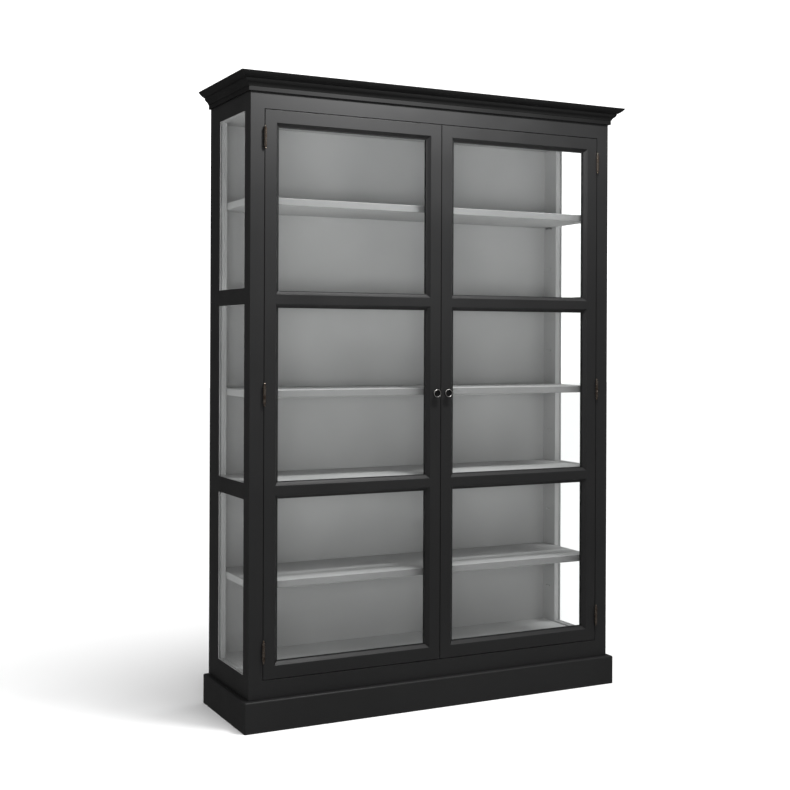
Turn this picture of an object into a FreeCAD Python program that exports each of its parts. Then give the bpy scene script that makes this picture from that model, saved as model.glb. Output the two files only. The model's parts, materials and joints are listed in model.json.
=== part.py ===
"""Glazed two-door display case: painted wood frame, glass doors and sides, five loose shelves.

Millimetres. +Z is up, +Y points to the back and +X to the right as seen from the front. The origin
is on the floor, under the middle of the overall box. Sub-parts made for the left are mirrored in
the plane x = 0 for the right.
"""
import FreeCAD, Part
import os

V = FreeCAD.Vector

# Overall sizes
HEIGHT = 2200.0
BODY_WIDTH = 1454.0
BODY_DEPTH = 410.0

# Plinth
PLINTH_HEIGHT = 105.0
PLINTH_OUT = 20.0
PLINTH_THICK = 38.0
PLINTH_ROUND = 6.0
GLUE_BLOCK = 45.0
GLUE_BLOCK_LIFT = 5.0

# Cornice: a convex lip over an ogee over a flat bed
CORNICE_OUT = 47.0
CORNICE_HEIGHT = 60.0
LIP_HEIGHT = 20.0
LIP_BOW = 2.5
OGEE_TOP_OUT = 24.0
OGEE_BOW = 1.2
BED_OUT = 8.0
BED_HEIGHT = 14.0
MOULDING_STEP = 1.5

# Boards and face frame
TOP_BOARD = 18.0
CEILING_BOARD = 18.0
FLOOR_BOARD = 25.0
FLOOR_STOP = 7.5
POST_WIDTH = 50.0
POST_DEPTH = 53.0
BOTTOM_RAIL_HEIGHT = 62.5
TOP_RAIL_SHOWN = 55.0

# Glazed sides
SIDE_THICK = 28.0
REAR_POST_DEPTH = 99.0
SIDE_SILL = 75.0
SIDE_HEAD = 59.0
SIDE_RAIL_HEIGHT = 55.0
SIDE_LIP = 5.0
LOWER_SIDE_RAIL_UP = 620.0
UPPER_SIDE_RAIL_DOWN = 624.5

# Glass and its rebates
GLASS_THICK = 4.0
REBATE = 10.0
GLASS_CLEARANCE = 2.0

# Back panel
BACK_THICK = 12.0
BACK_INSET = 3.0
BACK_REBATE = 12.0
BACK_CLEARANCE = 0.5
BACK_SCREW_ROWS = 7
BACK_SCREW_COLUMNS = 4

# Shelves on pins
SHELF_LEVELS = (0.163, 0.341, 0.504, 0.676, 0.849)
SHELF_THICK = 25.0
SHELF_SETBACK = 12.0
SHELF_BACK_GAP = 5.0
SHELF_END_GAP = 1.0
SHELF_EDGE_ROUND = 3.0
PIN_RADIUS = 3.5
PIN_DEPTH = 10.0
REAR_PIN_OUT = 11.0
REAR_PIN_INSET = 26.0
REAR_PIN_PITCH = 22.0
FRONT_PIN_OUT = 27.0

# Doors
DOOR_THICK = 26.0
DOOR_GAP = 2.5
DOOR_STOP_GAP = 2.0
HINGE_STILE = 54.0
MEETING_STILE = 55.0
DOOR_TOP_RAIL = 55.0
DOOR_BOTTOM_RAIL = 57.0
DOOR_BAR = 57.5
LOWER_BAR_UP = 632.5
UPPER_BAR_DOWN = 635.5
STICKING_BEVEL = 11.0
STICKING_DEPTH = 12.0
STICKING_STEP = 2.0
STICKING_LIP = 3.0

# Knob
KNOB_HEIGHT = 1122.0
KNOB_INSET = 22.0
KNOB_RADIUS = 14.0
KNOB_OUT = 19.0
KNOB_NECK = 6.0
KNOB_BASE = 9.0
KNOB_BORE_DEPTH = 9.0
KNOB_SCREW_RADIUS = 2.0
KNOB_SCREW_HEAD = 4.5
KNOB_SCREW_HEAD_THICK = 2.5

# Butt hinges with ball tips
HINGE_FROM_END = 94.0
HINGE_LENGTH = 62.0
HINGE_KNUCKLES = 5
KNUCKLE_RADIUS = 5.2
KNUCKLE_GAP = 0.3
HINGE_PIN_RADIUS = 2.2
HINGE_PIN_PLAY = 0.05
FACE_CLEARANCE = 0.2
LEAF_PLAY = 0.3
LEAF_BACK_MARGIN = 2.0
LEAF_SCREWS = 3
TIP_COLLAR_RADIUS = 4.2
TIP_COLLAR = 1.0
TIP_NECK = 1.4
TIP_RADIUS = 3.3

# Screws
SCREW_RADIUS = 1.6
SCREW_HEAD_RADIUS = 2.8
SCREW_HEAD = 1.1
SCREW_LENGTH = 15.0

# Magnetic catches
CATCH_WIDTH = 46.0
CATCH_DEPTH = 20.0
CATCH_HEIGHT = 16.0
CATCH_OFFSET = 60.0
CATCH_GAP = 0.3
CATCH_SCREW_SPACING = 30.0
STRIKE_WIDTH = 40.0
STRIKE_HEIGHT = 14.0
STRIKE_THICK = 1.2
STRIKE_SCREW_SPACING = 28.0

# Places that follow from the sizes above
HALF = BODY_WIDTH / 2
BACK = (BODY_DEPTH + CORNICE_OUT) / 2
FRONT = BACK - BODY_DEPTH
INNER_HALF = HALF - SIDE_THICK
OPENING_HALF = HALF - POST_WIDTH
BODY_TOP = HEIGHT - TOP_BOARD
CORNICE_BOTTOM = HEIGHT - CORNICE_HEIGHT
OPENING_BOTTOM = PLINTH_HEIGHT + BOTTOM_RAIL_HEIGHT
OPENING_TOP = CORNICE_BOTTOM - TOP_RAIL_SHOWN
FLOOR_TOP = OPENING_BOTTOM + FLOOR_STOP
POST_BACK = FRONT + POST_DEPTH
REAR_POST_FRONT = BACK - REAR_POST_DEPTH
BACK_PANEL_FRONT = BACK - BACK_INSET - BACK_THICK
SILL_Z = PLINTH_HEIGHT + SIDE_SILL
HEAD_Z = CORNICE_BOTTOM - SIDE_HEAD
DOOR_BOTTOM = OPENING_BOTTOM + DOOR_GAP
DOOR_TOP = OPENING_TOP - DOOR_GAP
DOOR_OUTER = OPENING_HALF - DOOR_GAP
DOOR_INNER = DOOR_GAP / 2
DOOR_BACK = FRONT + DOOR_THICK
RAIL_BACK = DOOR_BACK + DOOR_STOP_GAP
STICKING_WIDTH = STICKING_STEP + STICKING_BEVEL
STICKING_FOOT = FRONT + STICKING_DEPTH
GLASS_FRONT = STICKING_FOOT + STICKING_LIP
LEAF_THICK = (DOOR_GAP - LEAF_PLAY) / 2
LEAF_BACK = DOOR_BACK - LEAF_BACK_MARGIN
AXIS_X = -OPENING_HALF + DOOR_GAP / 2
AXIS_Y = FRONT - KNUCKLE_RADIUS - FACE_CLEARANCE
HINGE_LEVELS = (
    DOOR_BOTTOM + HINGE_FROM_END,
    (DOOR_BOTTOM + DOOR_TOP) / 2,
    DOOR_TOP - HINGE_FROM_END,
)
SHELF_TOPS = [FLOOR_TOP + share * (OPENING_TOP - FLOOR_TOP) for share in SHELF_LEVELS]


def block(x0, x1, y0, y1, z0, z1):
    """Box between two corners."""
    return Part.makeBox(x1 - x0, y1 - y0, z1 - z0, V(x0, y0, z0))


def prism(points, direction):
    """Solid made by moving a flat closed outline along a direction."""
    wire = Part.makePolygon(points + [points[0]])
    return Part.Face(wire).extrude(direction)


def mirrored(shape):
    """The same shape on the other side of the plane x = 0."""
    return shape.mirror(V(0, 0, 0), V(1, 0, 0))


def cut_all(shape, cutters):
    """Shape with every cutter taken away, as one plain solid."""
    return shape.cut(cutters).Solids[0]


def eased(shape, radius, wanted):
    """Shape with a radius on the straight edges that the test picks by their midpoint."""
    edges = [edge for edge in shape.Edges if wanted(edge.BoundBox)]
    return shape.makeFillet(radius, edges)


def screw(head_at, direction, head=SCREW_HEAD, length=SCREW_LENGTH):
    """Countersunk wood screw, its head flush with the point given."""
    cone = Part.makeCone(SCREW_HEAD_RADIUS, SCREW_RADIUS, head, head_at, direction)
    shank = Part.makeCylinder(SCREW_RADIUS, length, head_at, direction)
    return cone.fuse(shank).removeSplitter().Solids[0]


def spread(low, high, count):
    """Evenly spaced places from low to high, both included."""
    return [low + (high - low) * i / (count - 1) for i in range(count)]


# ---------------------------------------------------------------- plinth and cornice

def front_wedge():
    """Plan region of the front run of a mitred surround."""
    reach = CORNICE_OUT + PLINTH_THICK
    return prism([
        V(-HALF - reach, FRONT - reach, 0),
        V(HALF + reach, FRONT - reach, 0),
        V(HALF - reach, FRONT + reach, 0),
        V(-HALF + reach, FRONT + reach, 0),
    ], V(0, 0, HEIGHT))


def left_wedge():
    """Plan region of the left run of a mitred surround."""
    reach = CORNICE_OUT + PLINTH_THICK
    return prism([
        V(-HALF - reach, FRONT - reach, 0),
        V(-HALF + reach, FRONT + reach, 0),
        V(-HALF + reach, BACK, 0),
        V(-HALF - reach, BACK, 0),
    ], V(0, 0, HEIGHT))


def plinth_parts():
    """Mitred plinth boards with a rounded top edge, and the back board between them."""
    out_x = HALF + PLINTH_OUT
    out_y = FRONT - PLINTH_OUT
    in_x = out_x - PLINTH_THICK
    in_y = out_y + PLINTH_THICK
    whole = block(-out_x, out_x, out_y, BACK, 0, PLINTH_HEIGHT)

    def shown(box):
        upright = box.ZLength > 1 and box.YMax < FRONT
        along_top = box.ZMin > PLINTH_HEIGHT - 1 and box.YMin < FRONT
        return upright or along_top

    surround = eased(whole, PLINTH_ROUND, shown)
    surround = surround.cut(block(-in_x, in_x, in_y, BACK + 1, -1, PLINTH_HEIGHT + 1))
    left = surround.common(left_wedge()).Solids[0]
    blocks = []
    for x in (-in_x, in_x - GLUE_BLOCK):
        for y in (in_y, BACK - PLINTH_THICK - GLUE_BLOCK):
            blocks.append(block(x, x + GLUE_BLOCK, y, y + GLUE_BLOCK, GLUE_BLOCK_LIFT, PLINTH_HEIGHT))
    return {
        "plinth_front": surround.common(front_wedge()).Solids[0],
        "plinth_left": left,
        "plinth_right": mirrored(left),
        "plinth_back": block(-in_x, in_x, BACK - PLINTH_THICK, BACK, 0, PLINTH_HEIGHT),
        "plinth_blocks": Part.makeCompound(blocks),
    }


def bowed(start, end, bow):
    """Arc between two profile points, its middle off the chord to the left by bow."""
    along = end - start
    side = V(-along.y, along.x, 0)
    side.normalize()
    middle = (start + end) * 0.5 + side * bow
    return Part.Arc(start, middle, end).toShape()


def cornice_profile():
    """Closed outline in (distance out from the body, height) held as x and y."""
    lip_foot = V(OGEE_TOP_OUT + MOULDING_STEP, HEIGHT - LIP_HEIGHT, 0)
    ogee_top = V(OGEE_TOP_OUT, HEIGHT - LIP_HEIGHT - 2 * MOULDING_STEP, 0)
    ogee_foot = V(BED_OUT + MOULDING_STEP, CORNICE_BOTTOM + BED_HEIGHT + MOULDING_STEP, 0)
    ogee_middle = (ogee_top + ogee_foot) * 0.5
    edges = [bowed(V(CORNICE_OUT, HEIGHT, 0), lip_foot, LIP_BOW)]
    edges.append(Part.makeLine(lip_foot, V(ogee_top.x, lip_foot.y, 0)))
    edges.append(Part.makeLine(V(ogee_top.x, lip_foot.y, 0), ogee_top))
    edges.append(bowed(ogee_top, ogee_middle, OGEE_BOW))
    edges.append(bowed(ogee_middle, ogee_foot, -OGEE_BOW))
    corners = [
        ogee_foot,
        V(BED_OUT, ogee_foot.y, 0),
        V(BED_OUT, CORNICE_BOTTOM, 0),
        V(0, CORNICE_BOTTOM, 0),
        V(0, HEIGHT, 0),
        V(CORNICE_OUT, HEIGHT, 0),
    ]
    for a, b in zip(corners, corners[1:]):
        edges.append(Part.makeLine(a, b))
    return Part.Face(Part.Wire(edges))


def cornice_parts():
    """Crown moulding planted on the front and both sides, mitred at the front corners."""
    length = BODY_WIDTH + 2 * CORNICE_OUT
    upright = cornice_profile()
    upright.rotate(V(0, 0, 0), V(1, 0, 0), 90)
    left_run = upright.mirror(V(0, 0, 0), V(1, 0, 0))
    left_run.translate(V(-HALF, FRONT - CORNICE_OUT, 0))
    left_run = left_run.extrude(V(0, BODY_DEPTH + CORNICE_OUT, 0))
    front_run = upright.copy()
    front_run.rotate(V(0, 0, 0), V(0, 0, 1), -90)
    front_run.translate(V(-length / 2, FRONT, 0))
    front_run = front_run.extrude(V(length, 0, 0))
    left = left_run.common(left_wedge()).Solids[0]
    return {
        "cornice_front": front_run.common(front_wedge()).Solids[0],
        "cornice_left": left,
        "cornice_right": mirrored(left),
    }


# ---------------------------------------------------------------- case

def side_pane_spans():
    """Bottom and top of each side pane's opening, lowest first."""
    lower = SILL_Z + LOWER_SIDE_RAIL_UP
    upper = HEAD_Z - UPPER_SIDE_RAIL_DOWN
    half = SIDE_RAIL_HEIGHT / 2
    return [(SILL_Z, lower - half), (lower + half, upper - half), (upper + half, HEAD_Z)]


def side_glass_face():
    """Distance from the middle of the case to the outer face of the side glass."""
    return HALF - SIDE_LIP


def side_rebates():
    """Rebates in the left side's frame, one around each pane."""
    return [
        block(-side_glass_face(), -INNER_HALF, POST_BACK - REBATE, REAR_POST_FRONT + REBATE,
              z0 - REBATE, z1 + REBATE)
        for z0, z1 in side_pane_spans()
    ]


def side_rails():
    """The four cross rails of the left side, lowest first."""
    spans = side_pane_spans()
    edges = [PLINTH_HEIGHT]
    for z0, z1 in spans:
        edges += [z0, z1]
    edges.append(BODY_TOP)
    rails = []
    for z0, z1 in zip(edges[::2], edges[1::2]):
        rail = block(-HALF, -INNER_HALF, POST_BACK, REAR_POST_FRONT, z0, z1)
        rails.append(cut_all(rail, side_rebates()))
    return rails


def side_panes():
    """Glass panes of the left side, lowest first."""
    lap = REBATE - GLASS_CLEARANCE
    face = side_glass_face()
    return [
        block(-face, -face + GLASS_THICK, POST_BACK - lap, REAR_POST_FRONT + lap, z0 - lap, z1 + lap)
        for z0, z1 in side_pane_spans()
    ]


def side_beads():
    """Four glazing beads behind each pane of the left side."""
    inner = -INNER_HALF
    outer = -side_glass_face() + GLASS_THICK
    beads = []
    for z0, z1 in side_pane_spans():
        for y in (POST_BACK - REBATE, REAR_POST_FRONT):
            beads.append(block(outer, inner, y, y + REBATE, z0 - REBATE, z1 + REBATE))
        for z in (z0 - REBATE, z1):
            beads.append(block(outer, inner, POST_BACK, REAR_POST_FRONT, z, z + REBATE))
    return beads


def pin_levels():
    """Heights of the pin centres under each shelf."""
    return [top - SHELF_THICK - PIN_RADIUS for top in SHELF_TOPS]


def spare_levels():
    """Heights of the spare pin holes, midway between the shelves."""
    below = [FLOOR_TOP] + pin_levels()
    return [(a + b) / 2 for a, b in zip(below, below[1:])]


def rear_pin_places():
    """Distances along the depth of the pins in a rear post."""
    middle = BACK_PANEL_FRONT - REAR_PIN_INSET - REAR_PIN_PITCH / 2
    return (middle - REAR_PIN_PITCH / 2, middle + REAR_PIN_PITCH / 2)


def left_pins(level, out_scale=1.0):
    """Pins at one height on the left side, or their holes when out_scale is nought."""
    pins = []
    for y in rear_pin_places():
        start = V(-INNER_HALF - PIN_DEPTH, y, level)
        length = PIN_DEPTH + REAR_PIN_OUT * out_scale
        pins.append(Part.makeCylinder(PIN_RADIUS, length, start, V(1, 0, 0)))
    x = -(OPENING_HALF + INNER_HALF) / 2
    start = V(x, POST_BACK - PIN_DEPTH, level)
    length = PIN_DEPTH + FRONT_PIN_OUT * out_scale
    pins.append(Part.makeCylinder(PIN_RADIUS, length, start, V(0, 1, 0)))
    return pins


def pin_holes():
    """All pin holes of the left side."""
    holes = []
    for level in pin_levels() + spare_levels():
        holes += left_pins(level, out_scale=0.0)
    return holes


def front_post():
    """Left front post with its glazing grooves, pin holes and hinge screw holes."""
    post = block(-HALF, -OPENING_HALF, FRONT, POST_BACK, PLINTH_HEIGHT, BODY_TOP)
    return cut_all(post, side_rebates() + pin_holes() + frame_leaf_screws())


def rear_post():
    """Left rear post with its glazing and back panel rebates and its pin holes."""
    post = block(-HALF, -INNER_HALF, REAR_POST_FRONT, BACK, PLINTH_HEIGHT, BODY_TOP)
    rebate = block(-INNER_HALF - BACK_REBATE, -INNER_HALF, BACK_PANEL_FRONT, BACK,
                   PLINTH_HEIGHT, BODY_TOP)
    return cut_all(post, side_rebates() + pin_holes() + [rebate] + back_screws())


def inner_board(z0, z1, holes):
    """Floor or ceiling board, notched round the front posts."""
    board = block(-INNER_HALF, INNER_HALF, RAIL_BACK, BACK_PANEL_FRONT, z0, z1)
    notch = block(-INNER_HALF, -OPENING_HALF, RAIL_BACK, POST_BACK, z0, z1)
    return cut_all(board, [notch, mirrored(notch)] + holes)


def back_screws():
    """Screws through the back panel into the rear posts and the two inner boards."""
    screws = []
    face = BACK_PANEL_FRONT + BACK_THICK
    post_line = INNER_HALF + BACK_REBATE / 2
    ends = (PLINTH_HEIGHT + SCREW_LENGTH, BODY_TOP - SCREW_LENGTH)
    for x in (-post_line, post_line):
        for z in spread(ends[0], ends[1], BACK_SCREW_ROWS):
            screws.append(screw(V(x, face, z), V(0, -1, 0), length=2 * SCREW_LENGTH))
    board_lines = (FLOOR_TOP - FLOOR_BOARD / 2, OPENING_TOP + CEILING_BOARD / 2)
    for z in board_lines:
        for x in spread(-OPENING_HALF + POST_DEPTH, OPENING_HALF - POST_DEPTH, BACK_SCREW_COLUMNS):
            screws.append(screw(V(x, face, z), V(0, -1, 0), length=2 * SCREW_LENGTH))
    return screws


def back_panel():
    """Back panel let into the rear posts."""
    reach = INNER_HALF + BACK_REBATE - BACK_CLEARANCE
    panel = block(-reach, reach, BACK_PANEL_FRONT, BACK_PANEL_FRONT + BACK_THICK,
                  PLINTH_HEIGHT + BACK_CLEARANCE, BODY_TOP - BACK_CLEARANCE)
    return cut_all(panel, back_screws())


def shelf(top):
    """Loose shelf with eased front edges."""
    reach = INNER_HALF - SHELF_END_GAP
    front = POST_BACK + SHELF_SETBACK
    board = block(-reach, reach, front, BACK_PANEL_FRONT - SHELF_BACK_GAP, top - SHELF_THICK, top)
    return eased(board, SHELF_EDGE_ROUND, lambda box: box.XLength > 1 and box.YMax < front + 1)


def catch():
    """Magnetic catch of the left door, under the ceiling board."""
    front = DOOR_BACK + STRIKE_THICK + CATCH_GAP
    x = -CATCH_OFFSET
    body = block(x - CATCH_WIDTH / 2, x + CATCH_WIDTH / 2, front, front + CATCH_DEPTH,
                 OPENING_TOP - CATCH_HEIGHT, OPENING_TOP)
    return cut_all(body, catch_screws())


def catch_screws():
    """Screws that hold the left catch up to the ceiling board."""
    y = DOOR_BACK + STRIKE_THICK + CATCH_GAP + CATCH_DEPTH / 2
    z = OPENING_TOP - CATCH_HEIGHT
    places = (-CATCH_OFFSET - CATCH_SCREW_SPACING / 2, -CATCH_OFFSET + CATCH_SCREW_SPACING / 2)
    return [screw(V(x, y, z), V(0, 0, 1), length=CATCH_HEIGHT + CEILING_BOARD / 2) for x in places]


def case_parts():
    """Everything fixed to the case apart from the surrounds and the hinges."""
    left_catch_screws = catch_screws()
    ceiling_holes = back_screws() + left_catch_screws + [mirrored(s) for s in left_catch_screws]
    parts = {
        "floor_board": inner_board(FLOOR_TOP - FLOOR_BOARD, FLOOR_TOP, back_screws()),
        "ceiling_board": inner_board(OPENING_TOP, OPENING_TOP + CEILING_BOARD, ceiling_holes),
        "top_board": block(-HALF, HALF, FRONT, BACK, BODY_TOP, HEIGHT),
        "face_bottom_rail": block(-OPENING_HALF, OPENING_HALF, FRONT, RAIL_BACK,
                                  PLINTH_HEIGHT, OPENING_BOTTOM),
        "face_top_rail": block(-OPENING_HALF, OPENING_HALF, FRONT, RAIL_BACK, OPENING_TOP, BODY_TOP),
        "back_panel": back_panel(),
    }
    pairs = {
        "front_post": front_post(),
        "rear_post": rear_post(),
        "side_rails": Part.makeCompound(side_rails()),
        "side_panes": Part.makeCompound(side_panes()),
        "side_beads": Part.makeCompound(side_beads()),
    }
    for name, shape in pairs.items():
        parts[name + "_left"] = shape
        parts[name + "_right"] = mirrored(shape)
    for number, top in enumerate(SHELF_TOPS, start=1):
        parts["shelf_%d" % number] = shelf(top)
    pins = []
    for level in pin_levels():
        pins += left_pins(level)
    parts["shelf_pins"] = Part.makeCompound(pins + [mirrored(pin) for pin in pins])
    parts["catches"] = Part.makeCompound([catch(), mirrored(catch())])
    screws = left_catch_screws + frame_leaf_screws()
    parts["case_screws"] = Part.makeCompound(
        back_screws() + screws + [mirrored(one) for one in screws])
    return parts


# ---------------------------------------------------------------- hinges

def knuckle_spans():
    """Bottom and top of each knuckle, measured from the middle of the hinge."""
    pitch = HINGE_LENGTH / HINGE_KNUCKLES
    low = -HINGE_LENGTH / 2
    half_gap = KNUCKLE_GAP / 2
    return [
        (low + i * pitch + half_gap, low + (i + 1) * pitch - half_gap)
        for i in range(HINGE_KNUCKLES)
    ]


def leaf(level, toward, bore, own):
    """Hinge leaf: a plate on one side of the axis and every second knuckle.

    toward is -1 for the post's leaf and +1 for the door's leaf.
    """
    near = AXIS_X + toward * (DOOR_GAP / 2 - LEAF_THICK)
    far = AXIS_X + toward * DOOR_GAP / 2
    x0, x1 = sorted((near, far))
    clear = AXIS_Y + KNUCKLE_RADIUS + KNUCKLE_GAP
    half = HINGE_LENGTH / 2
    shape = block(x0, x1, clear, LEAF_BACK, level - half, level + half)
    for z0, z1 in knuckle_spans()[own::2]:
        tab = block(x0, x1, AXIS_Y, clear, level + z0, level + z1)
        barrel = Part.makeCylinder(KNUCKLE_RADIUS, z1 - z0, V(AXIS_X, AXIS_Y, level + z0))
        shape = shape.fuse([tab, barrel])
    hole = Part.makeCylinder(bore, HINGE_LENGTH, V(AXIS_X, AXIS_Y, level - half))
    return cut_all(shape, [hole] + leaf_screws(level, toward))


def leaf_screws(level, toward):
    """Screws of one leaf, staggered in depth."""
    x = AXIS_X + toward * (DOOR_GAP / 2 - LEAF_THICK)
    third = HINGE_LENGTH / LEAF_SCREWS
    screws = []
    for i, z in enumerate(spread(level - third, level + third, LEAF_SCREWS)):
        y = FRONT + (LEAF_BACK - FRONT) * (1 / 3 if i % 2 else 2 / 3)
        screws.append(screw(V(x, y, z), V(toward, 0, 0), head=LEAF_THICK))
    return screws


def frame_leaf_screws():
    """Screws of the three leaves on the left front post."""
    return [one for level in HINGE_LEVELS for one in leaf_screws(level, -1)]


def door_leaf_screws():
    """Screws of the three leaves on the left door."""
    return [one for level in HINGE_LEVELS for one in leaf_screws(level, 1)]


def hinge_pin(level):
    """Hinge pin with a collar, a neck and a ball at each end."""
    half = HINGE_LENGTH / 2
    length = HINGE_LENGTH + 2 * (TIP_COLLAR + TIP_NECK + TIP_RADIUS)
    pin = Part.makeCylinder(HINGE_PIN_RADIUS, length, V(AXIS_X, AXIS_Y, level - length / 2))
    tips = []
    for end in (-1, 1):
        low = level + end * half + (0 if end > 0 else -TIP_COLLAR)
        tips.append(Part.makeCylinder(TIP_COLLAR_RADIUS, TIP_COLLAR, V(AXIS_X, AXIS_Y, low)))
        tips.append(Part.makeSphere(TIP_RADIUS, V(AXIS_X, AXIS_Y, level + end * length / 2)))
    return pin.fuse(tips).removeSplitter().Solids[0]


def hinge_parts():
    """Post leaves and pins of all six hinges."""
    leaves = [leaf(level, -1, HINGE_PIN_RADIUS, 0) for level in HINGE_LEVELS]
    pins = [hinge_pin(level) for level in HINGE_LEVELS]
    return {
        "hinge_post_leaves": Part.makeCompound(leaves + [mirrored(one) for one in leaves]),
        "hinge_pins": Part.makeCompound(pins + [mirrored(one) for one in pins]),
    }


# ---------------------------------------------------------------- doors

def door_pane_spans():
    """Bottom and top of the glass seen in each row of a door, lowest first."""
    lower = DOOR_BOTTOM + LOWER_BAR_UP
    upper = DOOR_TOP - UPPER_BAR_DOWN
    half = DOOR_BAR / 2
    return [
        (DOOR_BOTTOM + DOOR_BOTTOM_RAIL, lower - half),
        (lower + half, upper - half),
        (upper + half, DOOR_TOP - DOOR_TOP_RAIL),
    ]


def door_glass_x():
    """Left and right edge of the glass seen in the left door."""
    return -DOOR_OUTER + HINGE_STILE, -DOOR_INNER - MEETING_STILE


def sticking_face(low, high, to_point):
    """Section of the moulded opening between two glass edges: a step, then a wide bevel."""
    foot = STICKING_FOOT
    wide_low = low - STICKING_WIDTH
    wide_high = high + STICKING_WIDTH
    front = FRONT - 1
    corners = [
        (low, DOOR_BACK), (low, foot), (low - STICKING_STEP, foot), (wide_low, FRONT),
        (wide_low, front), (wide_high, front), (wide_high, FRONT),
        (high + STICKING_STEP, foot), (high, foot), (high, DOOR_BACK), (low, DOOR_BACK),
    ]
    return Part.Face(Part.makePolygon([to_point(*corner) for corner in corners]))


def pane_cutters():
    """Moulded opening and glass rebate for each pane of the left door.

    A moulded opening is what an upright and a level run of the section share, so its corners
    come out mitred.
    """
    x0, x1 = door_glass_x()
    cutters = []
    for z0, z1 in door_pane_spans():
        low = z0 - STICKING_WIDTH
        high = z1 + STICKING_WIDTH
        upright = sticking_face(x0, x1, lambda s, y, z=low: V(s, y, z)).extrude(V(0, 0, high - low))
        left = x0 - STICKING_WIDTH
        right = x1 + STICKING_WIDTH
        level = sticking_face(z0, z1, lambda s, y, x=left: V(x, y, s)).extrude(V(right - left, 0, 0))
        cutters.append(upright.common(level).Solids[0])
        cutters.append(block(x0 - REBATE, x1 + REBATE, GLASS_FRONT, DOOR_BACK,
                             z0 - REBATE, z1 + REBATE))
    return cutters


def knob_x():
    """Place of the left door's knob across the case."""
    return -DOOR_INNER - KNOB_INSET


def knob_screw():
    """Machine screw through the meeting stile into the knob."""
    start = V(knob_x(), DOOR_BACK, KNOB_HEIGHT)
    shank = Part.makeCylinder(KNOB_SCREW_RADIUS, DOOR_THICK + KNOB_BORE_DEPTH, start, V(0, -1, 0))
    head = Part.makeCylinder(KNOB_SCREW_HEAD, KNOB_SCREW_HEAD_THICK, start, V(0, 1, 0))
    return shank.fuse(head).removeSplitter().Solids[0]


def knob():
    """Turned knob: a base, a narrow neck and a flared head with a raised rim."""
    rim = KNOB_RADIUS - 2
    outline = [
        (0, 0), (KNOB_BASE, 0), (KNOB_BASE, 2), (KNOB_NECK, 4), (KNOB_NECK, KNOB_OUT - 10),
        (KNOB_RADIUS, KNOB_OUT - 5), (KNOB_RADIUS, KNOB_OUT - 1), (KNOB_RADIUS - 1, KNOB_OUT),
        (rim, KNOB_OUT - 1), (0, KNOB_OUT - 1),
    ]
    x = knob_x()
    points = [V(x + r, FRONT - out, KNOB_HEIGHT) for r, out in outline]
    face = Part.Face(Part.makePolygon(points + [points[0]]))
    turned = face.revolve(V(x, 0, KNOB_HEIGHT), V(0, 1, 0), 360)
    return cut_all(turned, [knob_screw()])


def strike_middle():
    """Centre of the left strike plate's front face, on the back of the door's top rail."""
    return V(-CATCH_OFFSET, DOOR_BACK, OPENING_TOP - CATCH_HEIGHT / 2)


def strike():
    """Steel plate that the magnetic catch holds."""
    middle = strike_middle()
    plate = block(middle.x - STRIKE_WIDTH / 2, middle.x + STRIKE_WIDTH / 2,
                  DOOR_BACK, DOOR_BACK + STRIKE_THICK,
                  DOOR_TOP - STRIKE_HEIGHT - DOOR_GAP, DOOR_TOP - DOOR_GAP)
    return cut_all(plate, strike_screws())


def strike_screws():
    """Two screws through the strike plate into the meeting stile and top rail."""
    middle = strike_middle()
    z = DOOR_TOP - DOOR_GAP - STRIKE_HEIGHT / 2
    face = DOOR_BACK + STRIKE_THICK
    places = (middle.x - STRIKE_SCREW_SPACING / 2, middle.x + STRIKE_SCREW_SPACING / 2)
    return [screw(V(x, face, z), V(0, -1, 0), head=STRIKE_THICK) for x in places]


def door_parts():
    """Left door: frame, glass, beads, knob, door leaves, strike plate and screws."""
    x0, x1 = door_glass_x()
    spans = door_pane_spans()
    screws = door_leaf_screws() + strike_screws() + [knob_screw()]
    cutters = pane_cutters() + screws
    boards = {
        "hinge_stile": block(-DOOR_OUTER, x0, FRONT, DOOR_BACK, DOOR_BOTTOM, DOOR_TOP),
        "meeting_stile": block(x1, -DOOR_INNER, FRONT, DOOR_BACK, DOOR_BOTTOM, DOOR_TOP),
        "bottom_rail": block(x0, x1, FRONT, DOOR_BACK, DOOR_BOTTOM, spans[0][0]),
        "lower_bar": block(x0, x1, FRONT, DOOR_BACK, spans[0][1], spans[1][0]),
        "upper_bar": block(x0, x1, FRONT, DOOR_BACK, spans[1][1], spans[2][0]),
        "top_rail": block(x0, x1, FRONT, DOOR_BACK, spans[2][1], DOOR_TOP),
    }
    parts = {name: cut_all(board, cutters) for name, board in boards.items()}
    lap = REBATE - GLASS_CLEARANCE
    bead_front = GLASS_FRONT + GLASS_THICK
    panes = []
    beads = []
    for z0, z1 in spans:
        panes.append(block(x0 - lap, x1 + lap, GLASS_FRONT, bead_front, z0 - lap, z1 + lap))
        for x in (x0 - REBATE, x1):
            beads.append(block(x, x + REBATE, bead_front, DOOR_BACK, z0 - REBATE, z1 + REBATE))
        for z in (z0 - REBATE, z1):
            beads.append(block(x0, x1, bead_front, DOOR_BACK, z, z + REBATE))
    parts["panes"] = Part.makeCompound(panes)
    parts["beads"] = Part.makeCompound(beads)
    parts["knob"] = knob()
    bore = HINGE_PIN_RADIUS + HINGE_PIN_PLAY
    parts["hinge_leaves"] = Part.makeCompound([leaf(level, 1, bore, 1) for level in HINGE_LEVELS])
    parts["strike"] = strike()
    parts["screws"] = Part.makeCompound(screws)
    return parts


def both_doors():
    """The left door and its mirror image."""
    parts = {}
    for name, shape in door_parts().items():
        parts["left_door_" + name] = shape
        parts["right_door_" + name] = mirrored(shape)
    return parts


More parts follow.
